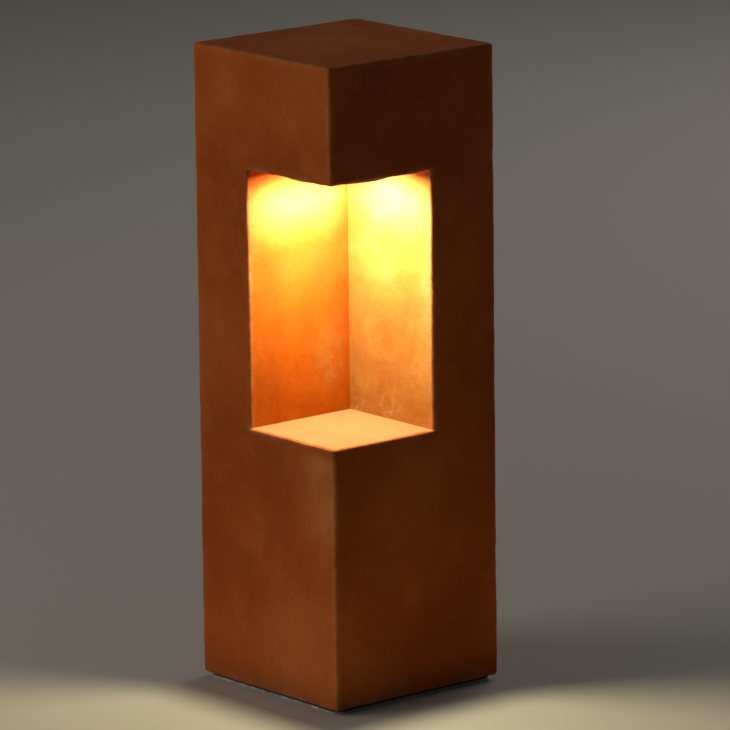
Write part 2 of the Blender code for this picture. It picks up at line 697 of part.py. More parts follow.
def make_base_plate(steel):
    """A steel plate with four tabs folded up out of it, anchor holes and a cable hole."""
    outline = rounded_square(PLATE_WIDTH, [PLATE_CORNER] * 4, CORNER_STEPS)
    curve = outline_curve("base_plate", [outline], PLATE_THICKNESS)
    plate = curve_to_mesh("base_plate", curve, steel, None, UP * PLATE_THICKNESS / 2)
    window_length = TAB_HEIGHT - 2 * PLATE_THICKNESS
    window_place = Vector((TAB_REACH - SHEET - TAB_HEIGHT / 2 + PLATE_THICKNESS, 0.0, 0.0))
    window_size = Matrix.Diagonal((window_length, TAB_WIDTH + 0.002, OVERCUT, 1.0))
    tab_place = Vector((TAB_REACH - SHEET / 2, 0.0, TAB_HEIGHT / 2))
    tab_size = Matrix.Diagonal((SHEET, TAB_WIDTH, TAB_HEIGHT, 1.0))
    windows = bmesh.new()
    tabs = bmesh.new()
    for quarter in range(4):
        turn = Matrix.Rotation(quarter * math.pi / 2, 4, "Z")
        window = turn @ Matrix.Translation(window_place) @ window_size
        bmesh.ops.create_cube(windows, size=1.0, matrix=window)
        tab = turn @ Matrix.Translation(tab_place) @ tab_size
        bmesh.ops.create_cube(tabs, size=1.0, matrix=tab)
    combine(plate, tool("tab_windows", windows))
    combine(plate, tool("folded_tabs", tabs), "UNION")
    reach = ANCHOR_SPACING / 2
    anchors = [Vector((x, y, 0.0)) for x in (-reach, reach) for y in (-reach, reach)]
    combine(plate, tool("anchor_holes", rods(ANCHOR_RADIUS, OVERCUT, anchors, 20)))
    combine(plate, tool("cable_hole", rods(CABLE_HOLE_RADIUS, OVERCUT, sides=24)))


def make_foot_seals(rubber):
    """The gasket under the stone, and the grommet in the plate's cable hole."""
    outer = rounded_square(PLATE_WIDTH, [PLATE_CORNER] * 4, CORNER_STEPS)
    inner = rounded_square(GASKET_OPENING, [0.003] * 4, 3)
    curve = outline_curve("foot_gasket", [outer, inner], GASKET_THICKNESS)
    plate_top = PLATE_THICKNESS + GAP
    curve_to_mesh("foot_gasket", curve, rubber, None, UP * (plate_top + GASKET_THICKNESS / 2))
    bore = 0.0045
    neck = CABLE_HOLE_RADIUS - GAP
    flange = 0.009
    flange_top = plate_top + 0.0015
    profile = [(flange, flange_top), (flange, plate_top), (neck, plate_top), (neck, GAP), (bore, GAP),
               (bore, flange_top)]
    turned("cable_grommet", profile, rubber, None, (0, 0, 0), steps=24)


# ---------------------------------------------------------------- the whole lantern

clear_scene()
PARTS = new_collection("stone_lantern")
TOOLS = new_collection("cutters")

STONE = look("stone", (0.42, 0.19, 0.09), 0.85)
ALUMINIUM = look("aluminium", (0.72, 0.72, 0.73), 0.4, 1.0)
STEEL = look("stainless_steel", (0.58, 0.57, 0.55), 0.35, 1.0)
GALVANISED = look("galvanised_steel", (0.50, 0.51, 0.52), 0.5, 1.0)
BRASS = look("brass", (0.75, 0.57, 0.26), 0.35, 1.0)
RUBBER = look("black_rubber", (0.02, 0.02, 0.02), 0.8)
GREY_PLASTIC = look("grey_plastic", (0.30, 0.31, 0.32), 0.5)
BLACK_PLASTIC = look("black_plastic", (0.03, 0.03, 0.03), 0.5)
WHITE_PLASTIC = look("white_plastic", (0.85, 0.84, 0.80), 0.4)
CONDUIT_GREY = look("conduit_plastic", (0.22, 0.22, 0.23), 0.6)
BOARD = look("circuit_board", (0.80, 0.80, 0.76), 0.4)
EMITTER = look("emitter", (0.95, 0.70, 0.20), 0.5, glow=4.0)
GLASS = look("frosted_glass", (0.95, 0.93, 0.88), 0.6, transmission=0.8)

COLUMN_LIFT = new_empty("column_lift")
LAMP_AXIS = new_empty("lamp_axis", LAMP, COLUMN_LIFT)

make_base_plate(GALVANISED)
make_foot_seals(RUBBER)

stone = make_stone_column(STONE, COLUMN_LIFT)
make_conduit(CONDUIT_GREY, COLUMN_LIFT)
make_locking(stone, BRASS, STEEL, COLUMN_LIFT)

make_housing(ALUMINIUM, LAMP_AXIS)
make_light_engine(ALUMINIUM, BOARD, EMITTER, WHITE_PLASTIC, STEEL, LAMP_AXIS)
make_glass_and_bezel(GLASS, RUBBER, STEEL, LAMP_AXIS)
make_lead_grommet(RUBBER, LAMP_AXIS)
make_lamp_lead(RUBBER, COLUMN_LIFT)

web = make_gear_bracket(stone, GALVANISED, BRASS, COLUMN_LIFT)
make_driver(web, WHITE_PLASTIC, STEEL, COLUMN_LIFT)
box = make_junction_box(web, GREY_PLASTIC, RUBBER, STEEL, COLUMN_LIFT)
terminals_base = make_terminal_block(WHITE_PLASTIC, COLUMN_LIFT)
make_supply_gland(box, BLACK_PLASTIC, RUBBER, COLUMN_LIFT)
make_link_lead(box, RUBBER, RUBBER, COLUMN_LIFT, terminals_base)
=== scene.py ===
"""The looks of the stone lantern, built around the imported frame. Metres, +Z up."""
import json
import math

import bmesh
import bpy
import numpy as np
from mathutils import Matrix, Vector, noise

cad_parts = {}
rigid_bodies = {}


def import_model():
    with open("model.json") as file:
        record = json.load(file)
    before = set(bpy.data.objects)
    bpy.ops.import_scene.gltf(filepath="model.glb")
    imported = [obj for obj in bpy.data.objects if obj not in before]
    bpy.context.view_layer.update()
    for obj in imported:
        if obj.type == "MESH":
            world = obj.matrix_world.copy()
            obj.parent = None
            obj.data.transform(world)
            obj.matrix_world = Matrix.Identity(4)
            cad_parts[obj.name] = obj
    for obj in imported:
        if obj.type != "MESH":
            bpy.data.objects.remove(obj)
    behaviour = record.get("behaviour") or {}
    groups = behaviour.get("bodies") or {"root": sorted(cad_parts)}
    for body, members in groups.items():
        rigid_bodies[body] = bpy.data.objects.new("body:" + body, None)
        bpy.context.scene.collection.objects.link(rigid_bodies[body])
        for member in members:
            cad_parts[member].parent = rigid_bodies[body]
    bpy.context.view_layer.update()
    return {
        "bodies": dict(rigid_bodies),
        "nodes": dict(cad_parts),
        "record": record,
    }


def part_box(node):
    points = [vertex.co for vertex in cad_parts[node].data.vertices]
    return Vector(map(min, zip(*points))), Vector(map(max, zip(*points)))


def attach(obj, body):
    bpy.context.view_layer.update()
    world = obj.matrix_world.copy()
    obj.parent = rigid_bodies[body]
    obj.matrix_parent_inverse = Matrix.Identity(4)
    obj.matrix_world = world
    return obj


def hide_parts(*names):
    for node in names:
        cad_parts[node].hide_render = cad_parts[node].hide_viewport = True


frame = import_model()

# ---------------------------------------------------------------- places taken from the frame

STONE_LOW, STONE_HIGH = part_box("stone_column")
BEZEL_LOW, BEZEL_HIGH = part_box("bezel_ring")
GLASS_LOW, GLASS_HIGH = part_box("diffuser_glass")
NICHE_LOW, NICHE_HIGH = [Vector(corner) for corner in frame["record"]["physics"]["openings"][0]["box_m"]]
NICHE_MARGIN = 0.0005
BEZEL_DROP = 0.0003

HALF = STONE_HIGH.x
FOOT = STONE_LOW.z
HEAD = STONE_HIGH.z
INNER_X = NICHE_LOW.x - NICHE_MARGIN
INNER_Y = NICHE_HIGH.y + NICHE_MARGIN
SILL = NICHE_LOW.z - 0.001
CEILING = BEZEL_HIGH.z + BEZEL_DROP
LAMP = Vector(((BEZEL_LOW.x + BEZEL_HIGH.x) / 2, (BEZEL_LOW.y + BEZEL_HIGH.y) / 2, CEILING))

CHAMBER_REACH = 0.042
PLATE_CORNER = 0.008

CELL = 0.0026


# ---------------------------------------------------------------- small helpers

def mesh_piece(name, bm, mats, body, replaced=()):
    mesh = bpy.data.meshes.new(name)
    bm.to_mesh(mesh)
    bm.free()
    return finish_piece(bpy.data.objects.new(name, mesh), mats, body, replaced)


def finish_piece(piece, mats, body, replaced=()):
    if piece.name not in bpy.context.scene.objects:
        bpy.context.scene.collection.objects.link(piece)
    for mat in mats:
        piece.data.materials.append(mat)
    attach(piece, body)
    if replaced:
        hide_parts(*replaced)
    return piece


def boolean(bm, tool_bm, operation="DIFFERENCE"):
    """Cuts or joins two bmeshes with Blender's exact solver and gives back the result."""
    objects = []
    for source in (bm, tool_bm):
        mesh = bpy.data.meshes.new("boolean")
        source.to_mesh(mesh)
        source.free()
        obj = bpy.data.objects.new("boolean", mesh)
        bpy.context.scene.collection.objects.link(obj)
        objects.append(obj)
    target, cutter = objects
    step = target.modifiers.new("cut", "BOOLEAN")
    step.operation = operation
    step.object = cutter
    evaluated = target.evaluated_get(bpy.context.evaluated_depsgraph_get())
    result = bmesh.new()
    result.from_mesh(evaluated.to_mesh())
    evaluated.to_mesh_clear()
    for obj in objects:
        mesh = obj.data
        bpy.data.objects.remove(obj)
        bpy.data.meshes.remove(mesh)
    return result


def add_block(bm, low, high):
    centre = (low + high) / 2
    scale = Matrix.Diagonal((*(high - low), 1.0))
    bmesh.ops.create_cube(bm, size=1.0, matrix=Matrix.Translation(centre) @ scale)


def add_rod(bm, radius, length, place, direction, sides=48):
    turn = Vector(direction).to_track_quat("Z", "Y").to_matrix().to_4x4()
    bmesh.ops.create_cone(bm, cap_ends=True, segments=sides, radius1=radius, radius2=radius, depth=length,
                          matrix=Matrix.Translation(place) @ turn)


# ---------------------------------------------------------------- material helpers

def new_material(name, roughness=0.5, metallic=0.0):
    mat = bpy.data.materials.new(name)
    mat.use_nodes = True
    shader = mat.node_tree.nodes["Principled BSDF"]
    shader.inputs["Roughness"].default_value = roughness
    shader.inputs["Metallic"].default_value = metallic
    return mat, mat.node_tree, shader


def add(tree, kind, inputs=None, **settings):
    """A node, with its settings, and its inputs by name: a value, or another node's output."""
    made = tree.nodes.new("ShaderNode" + kind)
    for key, value in settings.items():
        setattr(made, key, value)
    for key, value in (inputs or {}).items():
        if isinstance(value, bpy.types.NodeSocket):
            tree.links.new(value, made.inputs[key])
        else:
            made.inputs[key].default_value = value
    return made


def position(tree):
    return add(tree, "TexCoord").outputs["Object"]


def stretched(tree, scale):
    return add(tree, "Mapping", {"Vector": position(tree), "Scale": scale}).outputs["Vector"]


def cloud(tree, scale, detail=3.0, roughness=0.55, vector=None, distortion=0.0):
    inputs = {"Vector": vector or position(tree), "Scale": scale, "Detail": detail, "Roughness": roughness,
              "Distortion": distortion}
    return add(tree, "TexNoise", inputs).outputs["Fac"]


def ramp(tree, value, stops):
    """A colour ramp whose stops are (place, colour or grey)."""
    made = add(tree, "ValToRGB", {"Fac": value})
    elements = made.color_ramp.elements
    while len(elements) < len(stops):
        elements.new(0.5)
    for element, (place, colour) in zip(elements, stops):
        element.position = place
        element.color = (*colour, 1.0) if isinstance(colour, tuple) else (colour, colour, colour, 1.0)
    return made.outputs["Color"]


def mix(tree, share, a, b, blend="MIX"):
    made = add(tree, "Mix", data_type="RGBA", blend_type=blend)
    for socket, value in ((made.inputs["Factor"], share), (made.inputs["A"], a), (made.inputs["B"], b)):
        connect(tree, value, socket)
    return made.outputs["Result"]


def connect(tree, value, socket):
    if isinstance(value, bpy.types.NodeSocket):
        tree.links.new(value, socket)
    elif isinstance(value, tuple):
        socket.default_value = (*value, 1.0)
    else:
        socket.default_value = value


def maths(tree, operation, a, b=None, clamp=False):
    made = add(tree, "Math", operation=operation, use_clamp=clamp)
    connect(tree, a, made.inputs[0])
    if b is not None:
        connect(tree, b, made.inputs[1])
    return made.outputs["Value"]


def span(tree, value, low, high, to_low=0.0, to_high=1.0):
    """The value's share of the way from low to high, clamped and eased."""
    inputs = {"Value": value, "From Min": low, "From Max": high, "To Min": to_low, "To Max": to_high}
    return add(tree, "MapRange", inputs, interpolation_type="SMOOTHSTEP").outputs["Result"]


def bump(tree, shader, height, distance, strength=1.0, under=None):
    inputs = {"Height": height, "Distance": distance, "Strength": strength}
    if under is not None:
        inputs["Normal"] = under
    made = add(tree, "Bump", inputs)
    tree.links.new(made.outputs["Normal"], shader.inputs["Normal"])
    return made.outputs["Normal"]


# ---------------------------------------------------------------- stone

def product(tree, *shares):
    """The shares multiplied together."""
    result = shares[0]
    for share in shares[1:]:
        result = maths(tree, "MULTIPLY", result, share)
    return result


def stone_colour(tree):
    """Fired-orange sandstone: soft cloudy mottling, fine mottling, grain and specks."""
    broad = cloud(tree, 9.0, 3.0, 0.5)
    colour = ramp(tree, broad, [(0.36, (0.335, 0.068, 0.009)), (0.50, (0.405, 0.088, 0.013)),
                                (0.64, (0.470, 0.120, 0.026))])
    soft = cloud(tree, 42.0, 4.0, 0.5)
    colour = mix(tree, span(tree, soft, 0.46, 0.76, 0.0, 0.40), colour, (0.50, 0.140, 0.034))
    stains = cloud(tree, 24.0, 4.0, 0.55, vector=stretched(tree, (1.0, 1.0, 0.45)))
    colour = mix(tree, span(tree, stains, 0.50, 0.76, 0.0, 0.40), colour, (0.275, 0.052, 0.009))
    fine = cloud(tree, 240.0, 4.0, 0.6)
    colour = mix(tree, 0.35, colour, ramp(tree, fine, [(0.3, 0.40), (0.5, 0.5), (0.7, 0.60)]), "OVERLAY")
    grain = cloud(tree, 1500.0, 3.0, 0.6)
    colour = mix(tree, 0.5, colour, ramp(tree, grain, [(0.3, 0.34), (0.5, 0.5), (0.72, 0.70)]), "OVERLAY")
    cells = add(tree, "TexVoronoi", {"Vector": position(tree), "Scale": 520.0}, feature="F1")
    speck = span(tree, cells.outputs["Distance"], 0.16, 0.26, 1.0, 0.0)
    kinds = add(tree, "SeparateColor", {"Color": cells.outputs["Color"]})
    dark_specks = product(tree, speck, span(tree, kinds.outputs["Red"], 0.80, 0.84, 0.0, 0.28))
    pale_specks = product(tree, speck, span(tree, kinds.outputs["Green"], 0.88, 0.92, 0.0, 0.12))
    colour = mix(tree, dark_specks, colour, (0.10, 0.030, 0.010))
    return mix(tree, pale_specks, colour, (0.66, 0.36, 0.18)), grain


def niche_colour(tree, place, colour):
    """Niche faces with painted lamp light: deep orange low on the left wall, paler and whiter towards the
    lamp, a paler and yellower right wall, and a pale yellow sill; and stains.
    """
    x, y, z = (place.outputs[axis] for axis in "XYZ")
    niche = product(tree, span(tree, z, SILL - 0.0012, SILL - 0.0002),
                    span(tree, z, CEILING - 0.0006, CEILING + 0.0004, 1.0, 0.0),
                    span(tree, x, INNER_X - 0.0012, INNER_X - 0.0006),
                    span(tree, y, INNER_Y + 0.0006, INNER_Y + 0.0012, 1.0, 0.0),
                    span(tree, x, HALF - 0.0022, HALF - 0.0012, 1.0, 0.0),
                    span(tree, y, -HALF + 0.0012, -HALF + 0.0022))
    facing = add(tree, "SeparateXYZ", {"Vector": add(tree, "NewGeometry").outputs["Normal"]})
    at_left = product(tree, niche, span(tree, facing.outputs["X"], 0.6, 0.8))
    at_right = product(tree, niche, span(tree, facing.outputs["Y"], -0.8, -0.6, 1.0, 0.0))
    at_sill = product(tree, niche, span(tree, facing.outputs["Z"], 0.6, 0.8))

    # Painted lamp light on the left wall: deep orange low down, paler and whiter towards the lamp.
    height = maths(tree, "DIVIDE", maths(tree, "SUBTRACT", z, SILL), CEILING - SILL)
    uneven = maths(tree, "ADD", height, span(tree, cloud(tree, 30.0, 3.0, 0.5), 0.3, 0.7, -0.08, 0.08))
    left_wall_glow = ramp(tree, uneven, [(0.10, (0.98, 0.92, 0.06)), (0.45, (0.98, 0.91, 0.30)),
                               (0.80, (0.98, 0.90, 0.80))])
    colour = mix(tree, at_left, colour, left_wall_glow, "MULTIPLY")
    # Painted lamp light on the right wall: a paler, yellower tint.
    right_wall_glow = ramp(tree, cloud(tree, 34.0, 4.0, 0.55), [(0.35, (1.03, 1.75, 2.0)), (0.65, (1.06, 2.05, 3.3))])
    colour = mix(tree, at_right, colour, right_wall_glow, "MULTIPLY")
    # Painted lamp light on the sill: a pale yellow tint, slightly uneven.
    tint_share = span(tree, cloud(tree, 60.0, 4.0, 0.6), 0.30, 0.62, 0.82, 0.95)
    colour = mix(tree, product(tree, at_sill, tint_share), colour, (0.33, 0.175, 0.085))

    # A soft lime patch on the left wall, low beside the inner corner, and a broken tide line on the right.
    from_corner = maths(tree, "SUBTRACT", INNER_Y, y)
    patch = product(tree, at_left, span(tree, from_corner, 0.018, 0.038, 1.0, 0.0),
                    span(tree, from_corner, 0.002, 0.010), span(tree, height, 0.07, 0.16),
                    span(tree, height, 0.26, 0.46, 1.0, 0.0),
                    span(tree, cloud(tree, 95.0, 5.0, 0.6), 0.38, 0.60, 0.25, 1.0),
                    span(tree, cloud(tree, 520.0, 4.0, 0.7), 0.40, 0.65, 0.55, 1.0))
    colour = mix(tree, product(tree, patch, 0.46), colour, (0.36, 0.22, 0.055))
    along = maths(tree, "SUBTRACT", x, INNER_X)
    tide = product(tree, at_right, span(tree, height, 0.01, 0.13, 1.0, 0.0),
                   span(tree, along, 0.030, 0.062, 1.0, 0.0),
                   span(tree, cloud(tree, 170.0, 5.0, 0.7), 0.46, 0.70))
    return mix(tree, product(tree, tide, 0.4), colour, (0.62, 0.42, 0.27))


def stone_material():
    mat, tree, shader = new_material("sandstone", 0.88)
    shader.inputs["Specular IOR Level"].default_value = 0.12
    place = add(tree, "SeparateXYZ", {"Vector": position(tree)})
    colour, grain = stone_colour(tree)
    colour = niche_colour(tree, place, colour)

    # Worn arrises are paler, and uneven.
    worn = add(tree, "Attribute", attribute_name="arris").outputs["Fac"]
    uneven = span(tree, cloud(tree, 70.0, 4.0, 0.65), 0.36, 0.66, 0.12, 0.62)
    colour = mix(tree, product(tree, worn, uneven), colour, (0.56, 0.25, 0.105))

    # A pale bloom below the notch's near corner, where rain runs off the sill.
    bloom = product(tree, span(tree, place.outputs["Z"], SILL - 0.085, SILL - 0.020),
                    span(tree, place.outputs["Z"], SILL - 0.012, SILL - 0.002, 1.0, 0.0),
                    span(tree, place.outputs["X"], HALF - 0.045, HALF - 0.006),
                    span(tree, place.outputs["Y"], -HALF + 0.001, -HALF + 0.003, 1.0, 0.0),
                    span(tree, cloud(tree, 55.0, 5.0, 0.6), 0.34, 0.62, 0.25, 0.60))
    colour = mix(tree, bloom, colour, (0.60, 0.24, 0.08))

    # Darker towards the foot, in uneven patches.
    foot_darkening = product(tree, span(tree, place.outputs["Z"], FOOT, FOOT + 0.022, 1.0, 0.0),
                   span(tree, cloud(tree, 60.0, 5.0, 0.7), 0.35, 0.65, 0.10, 0.55))
    colour = mix(tree, foot_darkening, colour, (0.15, 0.050, 0.018))
    tree.links.new(colour, shader.inputs["Base Color"])

    tree.links.new(span(tree, grain, 0.2, 0.8, 0.78, 0.96), shader.inputs["Roughness"])
    pits = span(tree, cloud(tree, 420.0, 4.0, 0.7), 0.60, 0.72, 0.0, -1.0)
    under = bump(tree, shader, cloud(tree, 95.0, 5.0, 0.6), 0.0012, 0.30)
    under = bump(tree, shader, pits, 0.0004, 0.5, under)
    bump(tree, shader, grain, 0.0003, 0.5, under)
    return mat


def arris_lines():
    """The column's outer arrises as pairs of end points."""
    x0, y0, x1, y1 = -HALF, -HALF, HALF, HALF
    lines = []
    for x, y in ((x0, y0), (x0, y1), (x1, y1)):
        lines.append(((x, y, FOOT), (x, y, HEAD)))
    for low, high in ((FOOT, SILL), (CEILING, HEAD)):
        lines.append(((x1, y0, low), (x1, y0, high)))
    for z in (FOOT, HEAD):
        ring = [(x0, y0, z), (x1, y0, z), (x1, y1, z), (x0, y1, z)]
        lines += list(zip(ring, ring[1:] + ring[:1]))
    for z in (SILL, CEILING):
        lines.append(((INNER_X, y0, z), (x1, y0, z)))
        lines.append(((x1, y0, z), (x1, INNER_Y, z)))
    lines.append(((INNER_X, y0, SILL), (INNER_X, y0, CEILING)))
    lines.append(((x1, INNER_Y, SILL), (x1, INNER_Y, CEILING)))
    return [(np.array(a), np.array(b)) for a, b in lines]


def distance_to_arris(points):
    nearest = np.full(len(points), 1.0)
    for a, b in arris_lines():
        along = b - a
        share = np.clip((points - a) @ along / (along @ along), 0.0, 1.0)
        nearest = np.minimum(nearest, np.linalg.norm(points - a - share[:, None] * along, axis=1))
    return nearest


def is_upright(edge, x, y):
    return all(abs(v.co.x - x) < 1e-6 and abs(v.co.y - y) < 1e-6 for v in edge.verts)


def round_edges(bm, edges, width, segments):
    bmesh.ops.bevel(bm, geom=edges, offset=width, segments=segments, profile=0.5, affect="EDGES",
                    clamp_overlap=True)


def stone_block():
    """The notched column with its rounded uprights and its arrises."""
    column = bmesh.new()
    add_block(column, STONE_LOW, STONE_HIGH)
    space = bmesh.new()
    add_block(space, Vector((INNER_X, -HALF - 0.02, SILL)), Vector((HALF + 0.02, INNER_Y, CEILING)))
    bm = boolean(column, space)
    bmesh.ops.dissolve_limit(bm, angle_limit=0.001, verts=bm.verts, edges=bm.edges)
    for x, y, radius in ((-HALF, HALF, 0.008), (-HALF, -HALF, 0.0035), (HALF, HALF, 0.0035)):
        round_edges(bm, [e for e in bm.edges if is_upright(e, x, y)], radius, 8)
    sharp = [e for e in bm.edges if e.is_convex and e.calc_face_angle() > math.radians(60)]
    round_edges(bm, sharp, 0.0019, 4)
    return bm


def cut_hollows(bm):
    """The lamp's pocket, the gear chamber, the conduit's bore and the fixing holes."""
    housing_low, housing_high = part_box("lamp_housing")
    pocket = bmesh.new()
    radius = (housing_high.x - housing_low.x) / 2 + 0.0004
    top = housing_high.z + 0.0003
    below = CEILING - 0.004
    add_rod(pocket, radius, top - below, (LAMP.x, LAMP.y, (top + below) / 2), (0, 0, 1), 96)
    bm = boolean(bm, pocket)
    chamber = bmesh.new()
    reach = CHAMBER_REACH
    chamber_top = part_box("gear_bracket")[1].z + 0.0003
    add_block(chamber, Vector((-reach, -reach, FOOT - 0.01)), Vector((reach, reach, chamber_top)))
    bm = boolean(bm, chamber)
    holes = bmesh.new()
    for name, direction in (("threaded_sleeve_1", (-1, 0, 0)), ("threaded_sleeve_2", (0, 1, 0))):
        low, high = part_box(name)
        place = (low + high) / 2 + Vector(direction) * 0.004
        add_rod(holes, 0.0053, 0.036, place, direction, 40)
    for name in ("ceiling_socket_1", "ceiling_socket_2"):
        low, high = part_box(name)
        middle = (low + high) / 2
        add_rod(holes, 0.0043, 0.0285, Vector((middle.x, middle.y, chamber_top)), (0, 0, 1), 32)
    conduit_low, conduit_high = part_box("cable_conduit")
    mouth = Vector((conduit_low.x + 0.007, conduit_high.y - 0.007, chamber_top))
    add_rod(holes, 0.0073, 0.060, mouth, (0, 0, 1), 32)
    return boolean(bm, holes)


def slice_up(bm, cell):
    """Cuts the mesh along evenly spaced planes, so that its faces can take an uneven surface."""
    wide = [f for f in bm.faces if len(f.verts) > 4]
    bmesh.ops.triangulate(bm, faces=wide)
    for axis, low, high in ((2, FOOT, HEAD), (0, -HALF, HALF), (1, -HALF, HALF)):
        count = round((high - low) / cell)
        normal = Vector((0, 0, 0))
        normal[axis] = 1.0
        for step in range(1, count):
            point = Vector((0, 0, 0))
            point[axis] = low + (high - low) * step / count + 0.00003
            bmesh.ops.bisect_plane(bm, geom=bm.verts[:] + bm.edges[:] + bm.faces[:], dist=0.00001,
                                   plane_co=point, plane_no=normal)


def weather(bm):
    """Slight hollows in the sawn faces, and more wear towards the arrises. Hidden hollows stay true."""
    bm.normal_update()
    points = np.array([v.co for v in bm.verts])
    edge = distance_to_arris(points)
    near = np.exp(-((edge / 0.0035) ** 2))
    hidden_reach = CHAMBER_REACH + 0.0005
    chamber_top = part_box("gear_bracket")[1].z + 0.001
    for vert, wear in zip(bm.verts, near):
        p = vert.co
        in_chamber = abs(p.x) < hidden_reach and abs(p.y) < hidden_reach and p.z < chamber_top
        in_pocket = p.z > CEILING - 0.0005 and (p.xy - LAMP.xy).length < 0.036 and p.z < HEAD - 0.005
        deep = min(HALF - abs(p.x), HALF - abs(p.y)) > 0.003
        in_stone = deep and FOOT + 0.001 < p.z < SILL - 0.003
        if in_chamber or in_pocket or in_stone:
            continue
        swell = 0.00022 * noise.fractal(p * 26.0, 1.0, 2.0, 3)
        ripple = 0.00007 * noise.fractal(p * 150.0, 1.0, 2.0, 2)
        rub = 0.00042 * wear * max(0.0, noise.fractal(p * 95.0 + Vector((3, 1, 2)), 0.9, 2.0, 4) + 0.15)
        vert.co = p + vert.normal * (swell + ripple - rub)


def make_stone():
    bm = cut_hollows(stone_block())
    slice_up(bm, CELL)
    weather(bm)
    bmesh.ops.remove_doubles(bm, verts=bm.verts, dist=0.00001)
    for face in bm.faces:
        face.smooth = True
    stone = mesh_piece("stone_body", bm, [stone_material()], "column", ["stone_column"])
    stone.data.set_sharp_from_angle(angle=math.radians(50))
    points = np.empty(len(stone.data.vertices) * 3, np.float32)
    stone.data.vertices.foreach_get("co", points)
    arris = stone.data.attributes.new("arris", "FLOAT", "POINT")
    closeness = np.exp(-((distance_to_arris(points.reshape(-1, 3).astype(float)) / 0.0022) ** 2))
    arris.data.foreach_set("value", closeness.astype(np.float32))
    return stone


# ---------------------------------------------------------------- metals, plastics, rubber and glass

def from_axis(tree, axis):
    """The distance from an upright axis."""
    place = add(tree, "SeparateXYZ", {"Vector": position(tree)})
    flat = add(tree, "CombineXYZ", {"X": place.outputs["X"], "Y": place.outputs["Y"]})
    ends = {0: flat.outputs["Vector"], 1: (axis.x, axis.y, 0.0)}
    return add(tree, "VectorMath", ends, operation="DISTANCE").outputs["Value"]


def turning_marks(tree, axis, spacing):
    """Fine rings about an upright axis, broken up a little, as a lathe leaves them."""
    phase = maths(tree, "MULTIPLY", from_axis(tree, axis), 2 * math.pi / spacing)
    wander = maths(tree, "MULTIPLY", cloud(tree, 900.0, 2.0, 0.5), 2.5)
    return maths(tree, "SINE", maths(tree, "ADD", phase, wander))


def shade(colour, share):
    """The colour made darker or lighter."""
    return tuple(min(1.0, channel * share) for channel in colour)


def metal_material(name, colour, roughness, marks=None, tarnish=None, spangle=0.0):
    """A metal with smears and fine marks: tarnish is the patches' colour, spangle the flakes' scale."""
    mat, tree, shader = new_material(name, roughness, 1.0)
    smears = cloud(tree, 90.0, 5.0, 0.65)
    tone = ramp(tree, smears, [(0.3, shade(colour, 0.80)), (0.6, colour), (0.8, shade(colour, 1.10))])
    shine = span(tree, smears, 0.3, 0.75, roughness * 1.35, roughness * 0.8)
    if tarnish:
        dull = span(tree, cloud(tree, 140.0, 6.0, 0.7), 0.48, 0.66, 0.0, 0.75)
        tone = mix(tree, dull, tone, tarnish)
        shine = maths(tree, "ADD", shine, maths(tree, "MULTIPLY", dull, 0.25))
    if spangle:
        flakes = add(tree, "TexVoronoi", {"Vector": position(tree), "Scale": spangle}, feature="F1")
        grey = add(tree, "SeparateColor", {"Color": flakes.outputs["Color"]})
        flake = span(tree, grey.outputs["Red"], 0.0, 1.0, 0.72, 1.12)
        tone = mix(tree, 1.0, tone, flake, "MULTIPLY")
        shine = maths(tree, "ADD", shine, span(tree, grey.outputs["Green"], 0.0, 1.0, -0.10, 0.12))
    tree.links.new(tone, shader.inputs["Base Color"])
    tree.links.new(shine, shader.inputs["Roughness"])
    lines = marks(tree) if marks else cloud(tree, 1600.0, 3.0, 0.6)
    under = bump(tree, shader, lines, 0.00002, 0.5)
    bump(tree, shader, cloud(tree, 300.0, 4.0, 0.6), 0.00006, 0.35, under)
    return mat


def plastic_material(name, colour, roughness, texture=1100.0, tint_share=0.18):
    """A moulded plastic: fine spark texture, slight colour drift and a little dust."""
    mat, tree, shader = new_material(name, roughness)
    drift = cloud(tree, 60.0, 4.0, 0.55)
    tone = ramp(tree, drift, [(0.3, shade(colour, 0.86)), (0.7, shade(colour, 1.08))])
    settled = span(tree, cloud(tree, 210.0, 6.0, 0.75), 0.50, 0.72, 0.0, tint_share)
    tone = mix(tree, settled, tone, (0.42, 0.36, 0.29))
    tree.links.new(tone, shader.inputs["Base Color"])
    spark = cloud(tree, texture, 2.0, 0.5)
    dullness = span(tree, spark, 0.3, 0.7, roughness - 0.08, roughness + 0.10)
    tree.links.new(maths(tree, "ADD", dullness, settled), shader.inputs["Roughness"])
    bump(tree, shader, spark, 0.00005, 0.6)
    return mat


def board_material():
    """White solder mask with tinned rings and a faint weave below it."""
    mat, tree, shader = new_material("solder_mask", 0.35)
    away = from_axis(tree, LAMP)
    ring = product(tree, span(tree, away, 0.0118, 0.0121), span(tree, away, 0.0126, 0.0129, 1.0, 0.0))
    weave = add(tree, "TexChecker", {"Vector": position(tree), "Scale": 2600.0})
    threads = span(tree, weave.outputs["Fac"], 0.0, 1.0, 0.0, 0.08)
    flux = span(tree, cloud(tree, 400.0, 4.0, 0.6), 0.5, 0.8, 0.0, 0.3)
    tone = mix(tree, threads, (0.80, 0.80, 0.76), (0.62, 0.66, 0.52))
    tone = mix(tree, flux, tone, (0.60, 0.56, 0.48))
    tree.links.new(mix(tree, ring, tone, (0.70, 0.68, 0.62)), shader.inputs["Base Color"])
    tree.links.new(span(tree, weave.outputs["Fac"], 0.0, 1.0, 0.30, 0.42), shader.inputs["Roughness"])
    bump(tree, shader, weave.outputs["Fac"], 0.00003, 0.4)
    return mat


